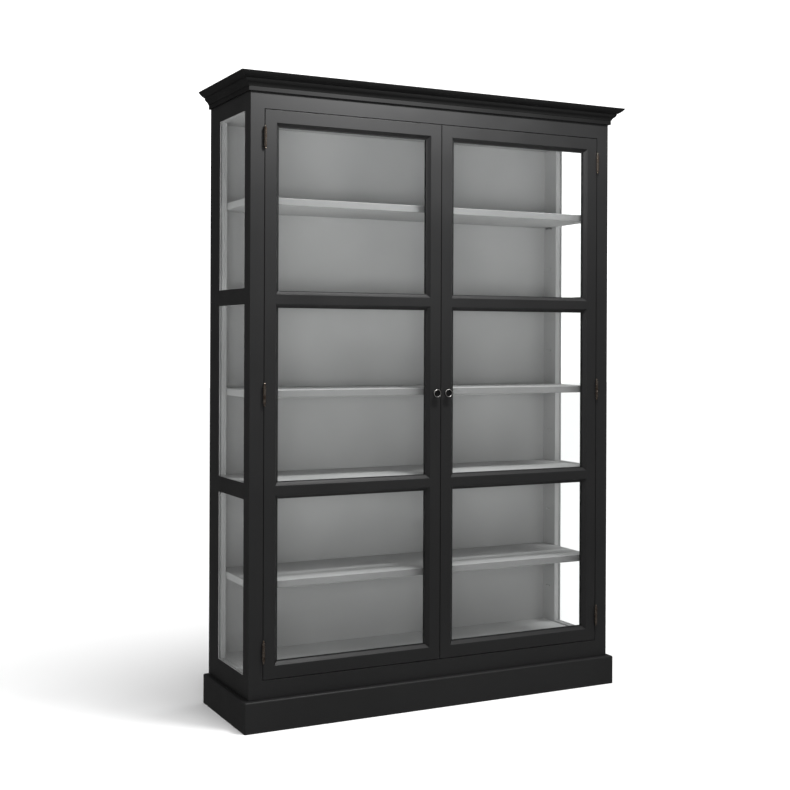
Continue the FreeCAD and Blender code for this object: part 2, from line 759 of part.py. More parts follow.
os.makedirs("parts", exist_ok=True)
nodes = {**plinth_parts(), **cornice_parts(), **case_parts(), **hinge_parts(), **both_doors()}
for node, shape in nodes.items():
    shape.exportStep("parts/%s.step" % node)
print(len(nodes), "nodes")
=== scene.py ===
"""Looks of a glazed two-door display cabinet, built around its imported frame.

Metres, +Z up, +Y towards the back. Every size that the frame holds is read from it; the fields of
the classes hold only what the frame doesn't say, such as a moulding's curve or a paint's gloss.
"""

import json
import logging
import math
from dataclasses import dataclass, field
from enum import Enum
from typing import Any, Iterable, Optional, Sequence

import bmesh
import bpy
import numpy as np
from mathutils import Matrix, Vector

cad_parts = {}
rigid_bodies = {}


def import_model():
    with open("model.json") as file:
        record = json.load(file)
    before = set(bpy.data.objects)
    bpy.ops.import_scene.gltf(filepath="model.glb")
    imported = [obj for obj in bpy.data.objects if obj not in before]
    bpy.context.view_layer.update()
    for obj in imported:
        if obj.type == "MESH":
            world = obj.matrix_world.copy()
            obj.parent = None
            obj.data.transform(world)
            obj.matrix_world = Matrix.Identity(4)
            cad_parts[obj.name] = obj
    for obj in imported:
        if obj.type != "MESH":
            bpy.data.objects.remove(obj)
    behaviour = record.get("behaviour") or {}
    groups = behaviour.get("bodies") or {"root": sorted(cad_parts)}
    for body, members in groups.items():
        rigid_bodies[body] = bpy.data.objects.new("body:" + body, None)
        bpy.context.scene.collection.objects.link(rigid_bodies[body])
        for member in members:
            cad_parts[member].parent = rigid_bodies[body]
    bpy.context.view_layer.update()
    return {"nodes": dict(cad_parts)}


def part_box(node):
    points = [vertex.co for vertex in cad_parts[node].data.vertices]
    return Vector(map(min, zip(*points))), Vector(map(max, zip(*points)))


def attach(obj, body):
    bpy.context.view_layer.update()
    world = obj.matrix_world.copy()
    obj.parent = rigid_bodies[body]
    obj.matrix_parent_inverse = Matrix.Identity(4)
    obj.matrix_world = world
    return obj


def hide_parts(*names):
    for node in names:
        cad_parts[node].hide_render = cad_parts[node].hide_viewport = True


LOG = logging.getLogger("cabinet")
MM = 0.001
MERGE = 1e-5
# Most of a noise's values lie in this stretch.
NOISE_MIDDLE = (0.3, 0.7)
ON_PLANE = 0.01 * MM
FLAT_DEG = 0.5
SHARP_CURVED_DEG = 25.0
SHARP_TURNED_DEG = 30.0
SHARP_COPY_DEG = 35.0
SHARP_FLAT_DEG = 50.0
ARRIS_STEPS = 3
QUARTER_BOW = 0.29

Frame = dict[str, Any]
Outline = np.ndarray


class Body(Enum):
    """Rigid bodies of the frame."""

    CASE = "case"
    LEFT_DOOR = "left_door"
    RIGHT_DOOR = "right_door"


class Slot(Enum):
    """Material slots of the record, listed beside the case's pieces; the pieces take their finish from
    Finishes, not from these.
    """

    BLACK_PAINT = "black_paint"
    GREY_PAINT = "grey_paint"
    HINGE_METAL = "hinge_metal"
    KNOB_METAL = "knob_metal"


class Grain(Enum):
    """Direction that brush marks or wood grain run in, as an axis number."""

    ACROSS = 0
    DEEP = 1
    UPRIGHT = 2


class Hand(Enum):
    """Which of the two mirrored doors or sides a piece belongs to, as the sign of its x."""

    LEFT = -1
    RIGHT = 1


# ---------------------------------------------------------------- surfaces

@dataclass
class Surface:
    """Vertices and polygons of a piece while it is worked out."""

    points: np.ndarray
    polygons: list[tuple[int, ...]]

    def to_object(self, name: str, sharp_deg: float) -> bpy.types.Object:
        """Puts the surface into a mesh object at the origin.

        Args:
            name: the piece's name.
            sharp_deg: edges that turn more than this stay sharp.

        Returns:
            The linked object, with doubled points merged and faces pointing outwards.
        """
        mesh = bpy.data.meshes.new(name)
        mesh.from_pydata(self.points.tolist(), [], self.polygons)
        tidy_mesh(mesh)
        piece = bpy.data.objects.new(name, mesh)
        bpy.context.scene.collection.objects.link(piece)
        mesh.shade_smooth()
        mesh.set_sharp_from_angle(angle=math.radians(sharp_deg))
        keep_flats_flat(piece)
        return piece


def keep_flats_flat(piece: bpy.types.Object) -> None:
    """Leans the shading towards the large faces, so that rounded edges don't shade the flats."""
    lean = piece.modifiers.new("flats stay flat", "WEIGHTED_NORMAL")
    lean.keep_sharp = True
    lean.weight = 100


def tidy_mesh(mesh: bpy.types.Mesh, merge: float = 1e-6) -> None:
    """Merges doubled points, drops collapsed faces and points all faces outwards.

    Args:
        mesh: mesh to tidy in place.
        merge: distance in metres under which points count as one.
    """
    work = bmesh.new()
    work.from_mesh(mesh)
    bmesh.ops.remove_doubles(work, verts=work.verts, dist=merge)
    bmesh.ops.dissolve_degenerate(work, edges=work.edges, dist=merge)
    bmesh.ops.recalc_face_normals(work, faces=work.faces)
    work.to_mesh(mesh)
    work.free()


def grid_polygons(rows: int, columns: int, wrap_rows: bool, wrap_columns: bool) -> list[tuple[int, ...]]:
    """Quads that join a grid of points stored row by row.

    Args:
        rows: number of rows.
        columns: number of points in each row.
        wrap_rows: whether the last row joins the first.
        wrap_columns: whether each row closes on itself.

    Returns:
        One tuple of four point numbers for each cell.
    """
    row = np.arange(rows if wrap_rows else rows - 1)
    column = np.arange(columns if wrap_columns else columns - 1)
    r, c = np.meshgrid(row, column, indexing="ij")
    r_next, c_next = (r + 1) % rows, (c + 1) % columns
    quads = np.stack([r * columns + c, r * columns + c_next, r_next * columns + c_next,
                      r_next * columns + c], axis=-1)
    return [tuple(quad) for quad in quads.reshape(-1, 4).tolist()]


def carried(outline: Outline, origins: np.ndarray, outs: np.ndarray, ups: np.ndarray,
            closed: bool = False) -> Surface:
    """A closed section carried along a path of stations.

    A point of the surface is the station's origin, plus the section's first number times the
    station's out vector, plus its second number times the station's up vector.

    Args:
        outline: section as rows of two numbers, without a repeated last point.
        origins: one origin for each station.
        outs: one out vector for each station; it is longer than 1 at a mitre.
        ups: one up vector for each station.
        closed: whether the last station joins the first.

    Returns:
        The surface, with flat ends where it isn't closed.
    """
    points = (origins[:, None, :] + outline[None, :, :1] * outs[:, None, :]
              + outline[None, :, 1:] * ups[:, None, :])
    rows, columns = points.shape[:2]
    polygons = grid_polygons(rows, columns, closed, True)
    if not closed:
        first = tuple(range(columns))
        last = tuple(range((rows - 1) * columns, rows * columns))
        polygons += [first[::-1], last]
    return Surface(points.reshape(-1, 3), polygons)


def arc(start: Sequence[float], end: Sequence[float], bow: float, steps: int) -> np.ndarray:
    """Points on a circular arc.

    The middle of the arc lies off the chord by bow, to the chord's left. The radius is
    (half chord squared + bow squared) / (2 bow), and the points are evenly spaced in angle.

    Args:
        start: first point.
        end: last point.
        bow: height of the arc over its chord; its sign picks the side.
        steps: number of spans.

    Returns:
        steps + 1 rows of two numbers.
    """
    a, b = np.array(start, float), np.array(end, float)
    half = np.linalg.norm(b - a) / 2
    along = (b - a) / (2 * half)
    left = np.array([-along[1], along[0]])
    radius = (half * half + bow * bow) / (2 * bow)
    reach = math.asin(min(1.0, half / abs(radius)))
    angle = np.linspace(-reach, reach, steps + 1)
    across = abs(radius) * np.sin(angle)
    rise = np.sign(bow) * abs(radius) * np.cos(angle) + (bow - radius)
    return (a + b) / 2 + across[:, None] * along + rise[:, None] * left


def eased_corners(outline: Outline, radii: Sequence[float], steps: int = 4) -> Outline:
    """An outline with some corners rounded.

    Each corner with a radius becomes an arc tangent to both its sides, from one tangent point to
    the other, bowed towards the corner.

    Args:
        outline: corners in order.
        radii: one radius for each corner; nought leaves it sharp.
        steps: spans in each arc.

    Returns:
        The outline with its arcs.
    """
    pieces = []
    before, after = np.roll(outline, 1, axis=0), np.roll(outline, -1, axis=0)
    for corner, back, ahead, radius in zip(outline, before, after, radii):
        if radius <= 0:
            pieces.append(corner[None, :])
            continue
        to_back = (back - corner) / np.linalg.norm(back - corner)
        to_ahead = (ahead - corner) / np.linalg.norm(ahead - corner)
        half_angle = math.acos(float(np.clip(to_back @ to_ahead, -1, 1))) / 2
        setback = radius / math.tan(half_angle)
        start, end = corner + setback * to_back, corner + setback * to_ahead
        chord = end - start
        towards = np.sign(chord[0] * (corner - start)[1] - chord[1] * (corner - start)[0])
        pieces.append(arc(start, end, towards * radius * (1 - math.sin(half_angle)), steps))
    return np.concatenate(pieces)


def straight_run(outline: Outline, start: Sequence[float], end: Sequence[float],
                 out: Sequence[float], up: Sequence[float]) -> Surface:
    """A section carried straight from one place to another.

    Args:
        outline: closed section.
        start: origin of the first end.
        end: origin of the last end.
        out: direction of the section's first number.
        up: direction of the section's second number.

    Returns:
        The closed surface.
    """
    origins = np.array([start, end], float)
    return carried(outline, origins, np.array([out, out], float), np.array([up, up], float))


def turned(profile: np.ndarray, centre: Sequence[float], along: Sequence[float],
           spokes: int) -> Surface:
    """A surface of revolution.

    A point is the centre, plus the profile's second number along the axis, plus its first number
    times (cosine, sine) of the turn in the plane across the axis.

    Args:
        profile: rows of (radius, distance along the axis), starting and ending at radius nought.
        centre: point on the axis.
        along: direction of the axis.
        spokes: points in each ring.

    Returns:
        The closed surface; its doubled pole points are merged when it becomes an object.
    """
    axis = Vector(along).normalized()
    side = axis.orthogonal().normalized()
    other = axis.cross(side)
    turn = np.linspace(0, 2 * math.pi, spokes, endpoint=False)
    spoke = np.cos(turn)[:, None] * np.array(side) + np.sin(turn)[:, None] * np.array(other)
    points = (np.array(centre, float) + profile[:, None, 1:] * np.array(axis)
              + profile[:, None, :1] * spoke[None, :, :])
    rows = len(profile)
    return Surface(points.reshape(-1, 3), grid_polygons(rows, spokes, False, True))


def rounded_block(low: Sequence[float], high: Sequence[float], radius: float, steps: int = 4) -> Surface:
    """A box with rounded edges and corners.

    With latitude u and turn v, a point is the box's inner corner for the signs of the direction
    (cos u cos v, cos u sin v, sin u), plus the radius times that direction. Each quadrant of v
    and each half of u has its own row of samples, so that the flat faces come from the jumps.

    Args:
        low: lowest corner.
        high: highest corner.
        radius: radius of the edges.
        steps: spans in each quarter turn.

    Returns:
        The closed surface.
    """
    low_corner, high_corner = np.array(low, float), np.array(high, float)
    middle, inner = (low_corner + high_corner) / 2, (high_corner - low_corner) / 2 - radius
    quarter = np.linspace(0, math.pi / 2, steps + 1)
    turn = np.concatenate([quarter + k * math.pi / 2 for k in range(4)])
    turn_signs = np.repeat([[1, 1], [-1, 1], [-1, -1], [1, -1]], steps + 1, axis=0)
    tilt = np.concatenate([quarter - math.pi / 2, quarter])
    tilt_signs = np.repeat([-1, 1], steps + 1)
    u, v = tilt[:, None], turn[None, :]
    direction = np.stack([np.cos(u) * np.cos(v), np.cos(u) * np.sin(v), np.sin(u) + 0 * v], axis=-1)
    signs = np.empty_like(direction)
    signs[..., :2] = turn_signs[None, :, :]
    signs[..., 2] = tilt_signs[:, None]
    points = middle + signs * inner + radius * direction
    rows, columns = points.shape[:2]
    polygons = grid_polygons(rows, columns, False, True)
    corners = [k * (steps + 1) for k in range(4)]
    polygons += [tuple(corners[::-1]), tuple((rows - 1) * columns + c for c in corners)]
    return Surface(points.reshape(-1, 3), polygons)


def solid_copy(node: str, name: str, arris: float,
               joints: Sequence[tuple[int, float]] = ()) -> bpy.types.Object:
    """A copy of a frame node with its points merged, its flats whole and its arrises eased.

    Args:
        node: frame node to copy.
        name: the new piece's name.
        arris: width of the eased edge in metres.
        joints: planes, as (axis number, place), whose edges stay square because a neighbour
            joins there.

    Returns:
        The linked piece.
    """
    source = bpy.data.objects[node]
    mesh = source.data.copy()
    mesh.name = name
    mesh.materials.clear()
    work = bmesh.new()
    work.from_mesh(mesh)
    bmesh.ops.remove_doubles(work, verts=work.verts, dist=MERGE)
    bmesh.ops.dissolve_limit(work, angle_limit=math.radians(FLAT_DEG), verts=work.verts, edges=work.edges)
    work.to_mesh(mesh)
    work.free()
    weigh_arrises(mesh, joints)
    piece = bpy.data.objects.new(name, mesh)
    bpy.context.scene.collection.objects.link(piece)
    mesh.shade_smooth()
    mesh.set_sharp_from_angle(angle=math.radians(SHARP_COPY_DEG))
    bevel = piece.modifiers.new("eased arrises", "BEVEL")
    bevel.width = arris
    bevel.segments = ARRIS_STEPS
    bevel.limit_method = "WEIGHT"
    bevel.harden_normals = True
    return piece


def weigh_arrises(mesh: bpy.types.Mesh, joints: Sequence[tuple[int, float]], turn_deg: float = 40.0) -> None:
    """Marks the edges that get eased: sharp ones that lie in none of the joint planes.

    An edge is sharp where the normals of its two faces differ by more than the turn.

    Args:
        mesh: mesh to mark.
        joints: planes, as (axis number, place), whose edges stay square.
        turn_deg: least turn between an edge's two faces.
    """
    points = np.empty(3 * len(mesh.vertices))
    mesh.vertices.foreach_get("co", points)
    points = points.reshape(-1, 3)
    ends = np.empty(2 * len(mesh.edges), int)
    mesh.edges.foreach_get("vertices", ends)
    ends = ends.reshape(-1, 2)
    normals = np.empty(3 * len(mesh.polygons))
    mesh.polygons.foreach_get("normal", normals)
    normals = normals.reshape(-1, 3)
    edge_of_corner = np.empty(len(mesh.loops), int)
    mesh.loops.foreach_get("edge_index", edge_of_corner)
    corners_of_face = np.empty(len(mesh.polygons), int)
    mesh.polygons.foreach_get("loop_total", corners_of_face)
    face_of_corner = np.repeat(np.arange(len(mesh.polygons)), corners_of_face)
    total = np.zeros((len(mesh.edges), 3))
    np.add.at(total, edge_of_corner, normals[face_of_corner])
    sharp = np.linalg.norm(total, axis=1) < 2 * math.cos(math.radians(turn_deg / 2))
    for axis, place in joints:
        on_plane = np.abs(points[ends][:, :, axis] - place).max(axis=1) < ON_PLANE
        sharp &= ~on_plane
    weight = mesh.attributes.new("bevel_weight_edge", "FLOAT", "EDGE")
    weight.data.foreach_set("value", sharp.astype(float))


# ---------------------------------------------------------------- finishes

class Bench:
    """Node tree of one material, with short calls for the nodes that the finishes share."""

    def __init__(self, name: str) -> None:
        """Starts an empty material of that name."""
        self.material = bpy.data.materials.new(name)
        self.material.use_nodes = True
        self.tree = self.material.node_tree
        self.tree.nodes.clear()
        self.place = self.tree.nodes.new("ShaderNodeTexCoord").outputs["Object"]

    def put(self, socket: bpy.types.NodeSocket, value: Any) -> None:
        """Links the socket to an output, or sets a plain value on it."""
        if isinstance(value, bpy.types.NodeSocket):
            self.tree.links.new(value, socket)
        else:
            socket.default_value = value

    def node(self, kind: str, links: Optional[dict[Any, Any]] = None, **values: Any) -> bpy.types.Node:
        """Adds a node.

        Args:
            kind: the node's type name.
            links: socket name or number to a plain value or to another node's output.
            values: the node's own settings.

        Returns:
            The new node.
        """
        made = self.tree.nodes.new(kind)
        for key, value in values.items():
            setattr(made, key, value)
        for key, value in (links or {}).items():
            self.put(made.inputs[key], value)
        return made

    def stretched(self, scale: Sequence[float]) -> bpy.types.NodeSocket:
        """Object coordinates multiplied by three numbers."""
        return self.node("ShaderNodeMapping", {"Vector": self.place, "Scale": scale}).outputs[0]

    def noise(self, scale: float, detail: float, vector: Optional[bpy.types.NodeSocket] = None,
              roughness: float = 0.5) -> bpy.types.NodeSocket:
        """Noise from 0 to 1 over Object coordinates or over the vector given."""
        links = {"Vector": vector or self.place, "Scale": scale, "Detail": detail,
                 "Roughness": roughness}
        return self.node("ShaderNodeTexNoise", links).outputs[0]

    def span(self, value: bpy.types.NodeSocket, low: float, high: float, out_low: float,
             out_high: float) -> bpy.types.NodeSocket:
        """The value's stretch from low to high, moved to run from out_low to out_high."""
        links = {"Value": value, "From Min": low, "From Max": high, "To Min": out_low, "To Max": out_high}
        return self.node("ShaderNodeMapRange", links).outputs[0]

    def math(self, operation: str, *values: Any) -> bpy.types.NodeSocket:
        """One sum of plain numbers or outputs."""
        links = dict(enumerate(values))
        return self.node("ShaderNodeMath", links, operation=operation).outputs[0]

    def blend(self, share: bpy.types.NodeSocket, first: Any, second: Any) -> bpy.types.NodeSocket:
        """A colour that goes from the first to the second as share goes from 0 to 1."""
        first, second = (value if isinstance(value, bpy.types.NodeSocket) else (*value, 1.0)
                         for value in (first, second))
        return self.node("ShaderNodeMix", {0: share, 6: first, 7: second}, data_type="RGBA").outputs[2]

    def bump(self, height: bpy.types.NodeSocket, depth: float, strength: float = 1.0,
             under: Optional[bpy.types.NodeSocket] = None) -> bpy.types.NodeSocket:
        """A normal raised by the height, depth metres for a height of 1."""
        links: dict[str, Any] = {"Height": height, "Distance": depth, "Strength": strength}
        if under is not None:
            links["Normal"] = under
        return self.node("ShaderNodeBump", links).outputs[0]

    def surface(self, links: dict[str, Any]) -> bpy.types.Material:
        """Ends the material in a Principled shader with these sockets."""
        shader = self.node("ShaderNodeBsdfPrincipled", links)
        return self.ended(shader.outputs[0])

    def ended(self, shader: bpy.types.NodeSocket) -> bpy.types.Material:
        """Ends the material in the shader given."""
        self.node("ShaderNodeOutputMaterial", {"Surface": shader})
        return self.material


@dataclass(frozen=True)
class InnerSpace:
    """The box, in the frame, whose surfaces get the interior colour."""

    half_width: float
    front: float
    back: float

    def share(self, bench: Bench) -> bpy.types.NodeSocket:
        """1 inside the box and 0 outside it, from Object coordinates."""
        parts = bench.node("ShaderNodeSeparateXYZ", {"Vector": bench.place})
        across = bench.math("LESS_THAN", bench.math("ABSOLUTE", parts.outputs[0]), self.half_width)
        behind = bench.math("GREATER_THAN", parts.outputs[1], self.front)
        before = bench.math("LESS_THAN", parts.outputs[1], self.back)
        return bench.math("MULTIPLY", across, bench.math("MULTIPLY", behind, before))


@dataclass(frozen=True)
class RolledPaint:
    """Satin paint: fine roller stipple over faint brush marks, a drifting gloss and dust nibs."""

    name: str
    colour: tuple[float, float, float]
    grain: Grain = Grain.UPRIGHT
    gloss_rough: float = 0.52
    gloss_drift: float = 0.04
    gloss_grit: float = 0.02
    specular: float = 0.5
    stipple_scale: float = 650.0
    stipple: float = 0.00005
    ridge_scale: float = 500.0
    ridge: float = 0.00002
    nib_scale: float = 1100.0
    nib: float = 0.00003
    inside: Optional[InnerSpace] = None
    inside_colour: tuple[float, float, float] = (0.45, 0.45, 0.45)

    def strokes(self, bench: Bench) -> bpy.types.NodeSocket:
        """Noise drawn out a hundred times along the grain."""
        scale = [self.ridge_scale] * 3
        scale[self.grain.value] = self.ridge_scale / 100
        return bench.noise(1.0, 2.0, bench.stretched(scale))

    def tint(self, bench: Bench, colour: tuple[float, float, float]) -> bpy.types.NodeSocket:
        """The colour with a slow drift across the boards."""
        darker = tuple(0.93 * part for part in colour)
        lighter = tuple(1.06 * part for part in colour)
        return bench.blend(bench.span(bench.noise(2.5, 3.0), 0.35, 0.65, 0.0, 1.0), darker, lighter)

    def build(self) -> bpy.types.Material:
        """The paint as a material."""
        bench = Bench(self.name)
        colour = self.tint(bench, self.colour)
        if self.inside is not None:
            colour = bench.blend(self.inside.share(bench), colour, self.tint(bench, self.inside_colour))
        strokes = self.strokes(bench)
        stipple = bench.noise(self.stipple_scale, 2.0)
        nibs = bench.span(bench.noise(self.nib_scale, 0.0), 0.74, 0.8, 0.0, 1.0)
        wave = bench.noise(7.0, 2.0)
        drift = bench.span(wave, *NOISE_MIDDLE, self.gloss_rough - self.gloss_drift,
                           self.gloss_rough + self.gloss_drift)
        grit = bench.span(stipple, *NOISE_MIDDLE, -self.gloss_grit, self.gloss_grit)
        gloss = bench.math("ADD", drift, grit)
        normal = bench.bump(stipple, self.stipple, 0.5)
        normal = bench.bump(strokes, self.ridge, 0.5, normal)
        normal = bench.bump(nibs, self.nib, 0.5, normal)
        return bench.surface({"Base Color": colour, "Roughness": gloss, "Normal": normal,
                              "Specular IOR Level": self.specular})


@dataclass(frozen=True)
class ClearGlass:
    """Float glass: nearly all see-through, with a mirror that grows towards grazing angles."""

    name: str = "clear_float_glass"
    tint: tuple[float, float, float] = (0.995, 1.0, 0.998)
    straight_on: float = 0.02
    ripple: float = 0.00002

    def build(self) -> bpy.types.Material:
        """The glass as a mix of a see-through and a mirror shader.

        The mirror's share is straight_on + (1 - straight_on) times (1 - cosine) to the fifth.
        """
        bench = Bench(self.name)
        facing = bench.node("ShaderNodeLayerWeight", {"Blend": 0.5}).outputs["Facing"]
        share = bench.math("MULTIPLY_ADD", bench.math("POWER", facing, 5.0),
                           1.0 - self.straight_on, self.straight_on)
        clear = bench.node("ShaderNodeBsdfTransparent", {"Color": (*self.tint, 1.0)})
        normal = bench.bump(bench.noise(2.2, 1.0), self.ripple)
        mirror = bench.node("ShaderNodeBsdfGlossy", {"Color": (1, 1, 1, 1), "Roughness": 0.02,
                                                     "Normal": normal})
        mix = bench.node("ShaderNodeMixShader", {0: share, 1: clear.outputs[0], 2: mirror.outputs[0]})
        return bench.ended(mix.outputs[0])


@dataclass(frozen=True)
class WornMetal:
    """Metal with cloudy tarnish, fine scratches and, on a cast piece, a soft orange-peel skin."""

    name: str
    bright: tuple[float, float, float]
    tarnish: tuple[float, float, float]
    rough_low: float
    rough_high: float
    cloud_scale: float = 90.0
    scratch_scale: tuple[float, float, float] = (2600.0, 2600.0, 160.0)
    scratch: float = 0.00001
    skin_scale: float = 700.0
    skin: float = 0.00003

    def build(self) -> bpy.types.Material:
        """The metal as a material."""
        bench = Bench(self.name)
        clouds = bench.noise(self.cloud_scale, 4.0, None, 0.6)
        scratches = bench.noise(1.0, 2.0, bench.stretched(self.scratch_scale))
        colour = bench.blend(bench.span(clouds, 0.35, 0.65, 0.0, 1.0), self.bright, self.tarnish)
        rough = bench.math("ADD", bench.span(clouds, *NOISE_MIDDLE, self.rough_low, self.rough_high),
                           bench.span(scratches, *NOISE_MIDDLE, -0.03, 0.05))
        normal = bench.bump(scratches, self.scratch, 0.5)
        normal = bench.bump(bench.noise(self.skin_scale, 2.0), self.skin, 0.5, normal)
        return bench.surface({"Base Color": colour, "Metallic": 1.0, "Roughness": rough, "Normal": normal})


@dataclass(frozen=True)
class BareTimber:
    """Unpainted softwood: growth rings stretched along the grain, with a fine fibre."""

    name: str = "bare_softwood"
    pale: tuple[float, float, float] = (0.52, 0.37, 0.22)
    dark: tuple[float, float, float] = (0.33, 0.20, 0.10)

    def build(self) -> bpy.types.Material:
        """The timber as a material."""
        bench = Bench(self.name)
        rings = bench.node("ShaderNodeTexWave", {
            "Vector": bench.stretched((14.0, 14.0, 1.2)), "Scale": 2.0, "Distortion": 5.0,
            "Detail": 3.0, "Detail Scale": 1.2,
        }).outputs[0]
        fibre = bench.noise(1.0, 3.0, bench.stretched((900.0, 900.0, 30.0)))
        colour = bench.blend(bench.span(rings, 0.0, 1.0, 0.0, 1.0), self.pale, self.dark)
        rough = bench.span(fibre, *NOISE_MIDDLE, 0.6, 0.8)
        return bench.surface({"Base Color": colour, "Roughness": rough,
                              "Normal": bench.bump(fibre, 0.00015, 0.7)})


@dataclass(frozen=True)
class MouldedPlastic:
    """Black moulded plastic with a fine spark-eroded texture."""

    name: str = "black_moulded_plastic"
    colour: tuple[float, float, float] = (0.03, 0.03, 0.03)

    def build(self) -> bpy.types.Material:
        """The plastic as a material."""
        bench = Bench(self.name)
        grit = bench.noise(1800.0, 2.0)
        lighter = tuple(1.5 * part for part in self.colour)
        share = bench.span(bench.noise(40.0, 2.0), *NOISE_MIDDLE, 0.0, 1.0)
        colour = bench.blend(share, self.colour, lighter)
        return bench.surface({"Base Color": colour, "Roughness": bench.span(grit, *NOISE_MIDDLE, 0.45, 0.6),
                              "Normal": bench.bump(grit, 0.00004, 0.6)})


@dataclass(frozen=True)
class StudioPaper:
    """Seamless white paper under the cabinet."""

    name: str = "seamless_paper"
    colour: tuple[float, float, float] = (0.93, 0.93, 0.93)

    def build(self) -> bpy.types.Material:
        """The paper as a material."""
        bench = Bench(self.name)
        shade = bench.span(bench.noise(1.2, 2.0), *NOISE_MIDDLE, 0.0, 1.0)
        near = tuple(0.99 * part for part in self.colour)
        return bench.surface({"Base Color": bench.blend(shade, self.colour, near), "Roughness": 0.9,
                              "Specular IOR Level": 0.0})


@dataclass
class Finishes:
    """Every material of the cabinet, made once."""

    inside: InnerSpace
    behind_edges: InnerSpace
    black: tuple[float, float, float] = (0.0112, 0.0112, 0.0114)
    # Painted shade: the cornice runs and the top board get this darker black in place of the body's black
    # paint, standing in for the shade on the cornice.
    painted_shade_black: tuple[float, float, float] = (0.006, 0.006, 0.006)
    grey: tuple[float, float, float] = (0.45, 0.45, 0.45)
    # Painted light: the floor board gets this lighter grey in place of the interior's grey, standing in for
    # light that the shaded floor inside doesn't get.
    painted_light_grey: tuple[float, float, float] = (0.58, 0.58, 0.58)
    # Painted shade: the shelves' front edges get this darker grey, standing in for less light on them; behind
    # the edges the shelves keep the interior's grey.
    edge_painted_shade_grey: tuple[float, float, float] = (0.20, 0.20, 0.20)
    grey_rough: float = 0.55
    grey_specular: float = 0.3
    cornice_rough: float = 0.5
    cornice_specular: float = 0.25

    def grey_coat(self, name: str, colour: tuple[float, float, float], grain: Grain,
                  behind: Optional[InnerSpace] = None) -> bpy.types.Material:
        """A coat of the interior's duller paint, with the plain grey in the space given."""
        return RolledPaint(name, colour, grain, gloss_rough=self.grey_rough, specular=self.grey_specular,
                           inside=behind, inside_colour=self.grey).build()

    def __post_init__(self) -> None:
        """Makes the materials."""
        self.black_paint = {
            grain: RolledPaint("black_satin_paint_" + grain.name.lower(), self.black, grain).build()
            for grain in Grain
        }
        self.two_tone = {
            grain: RolledPaint("black_and_grey_paint_" + grain.name.lower(), self.black, grain,
                               inside=self.inside, inside_colour=self.grey).build()
            for grain in (Grain.DEEP, Grain.UPRIGHT)
        }
        self.grey_paint = {
            grain: self.grey_coat("grey_satin_paint_" + grain.name.lower(), self.grey, grain)
            for grain in (Grain.ACROSS, Grain.UPRIGHT)
        }
        # Shelves: the darker grey on the front edges is painted shade.
        self.shelf_paint = self.grey_coat("grey_shelf_painted_shade_coat", self.edge_painted_shade_grey, Grain.ACROSS,
                                          self.behind_edges)
        # Floor board: the lighter grey is painted light.
        self.floor_paint = self.grey_coat("pale_floor_painted_light_coat", self.painted_light_grey, Grain.ACROSS)
        # Cornice and top board: the darker black is painted shade, not a different paint.
        self.cornice_paint = {
            grain: RolledPaint("black_cornice_paint_" + grain.name.lower(), self.painted_shade_black, grain,
                               gloss_rough=self.cornice_rough, specular=self.cornice_specular).build()
            for grain in (Grain.ACROSS, Grain.DEEP)
        }
        self.glass = ClearGlass().build()
        self.bronze = WornMetal("aged_bronze", (0.66, 0.57, 0.49), (0.20, 0.145, 0.11), 0.17, 0.32).build()
        self.dark_metal = WornMetal("burnished_iron", (0.075, 0.075, 0.075), (0.04, 0.04, 0.04),
                                    0.3, 0.45).build()
        self.rim_metal = WornMetal("polished_rim", (0.97, 0.95, 0.92), (0.84, 0.82, 0.79), 0.42, 0.5).build()
        self.steel = WornMetal("plated_steel", (0.50, 0.50, 0.51), (0.32, 0.32, 0.33), 0.25, 0.4).build()
        self.timber = BareTimber().build()
        self.plastic = MouldedPlastic().build()


def dress(piece: bpy.types.Object, material: bpy.types.Material) -> bpy.types.Object:
    """Gives a piece one material in place of any it had."""
    piece.data.materials.clear()
    piece.data.materials.append(material)
    return piece


def fit_out(piece: bpy.types.Object, body: Body, material: bpy.types.Material,
            nodes: Iterable[str] = ()) -> bpy.types.Object:
    """Dresses a new piece, puts it on its body and hides the frame nodes that it stands for.

    Args:
        piece: the new piece.
        body: body that carries it.
        material: its finish.
        nodes: frame nodes that it replaces.

    Returns:
        The piece.
    """
    dress(piece, material)
    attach(piece, body.value)
    names = list(nodes)
    if names:
        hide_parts(*names)
    LOG.info("%s rides on %s", piece.name, body.value)
    return piece


# ---------------------------------------------------------------- the cabinet's sub-assemblies

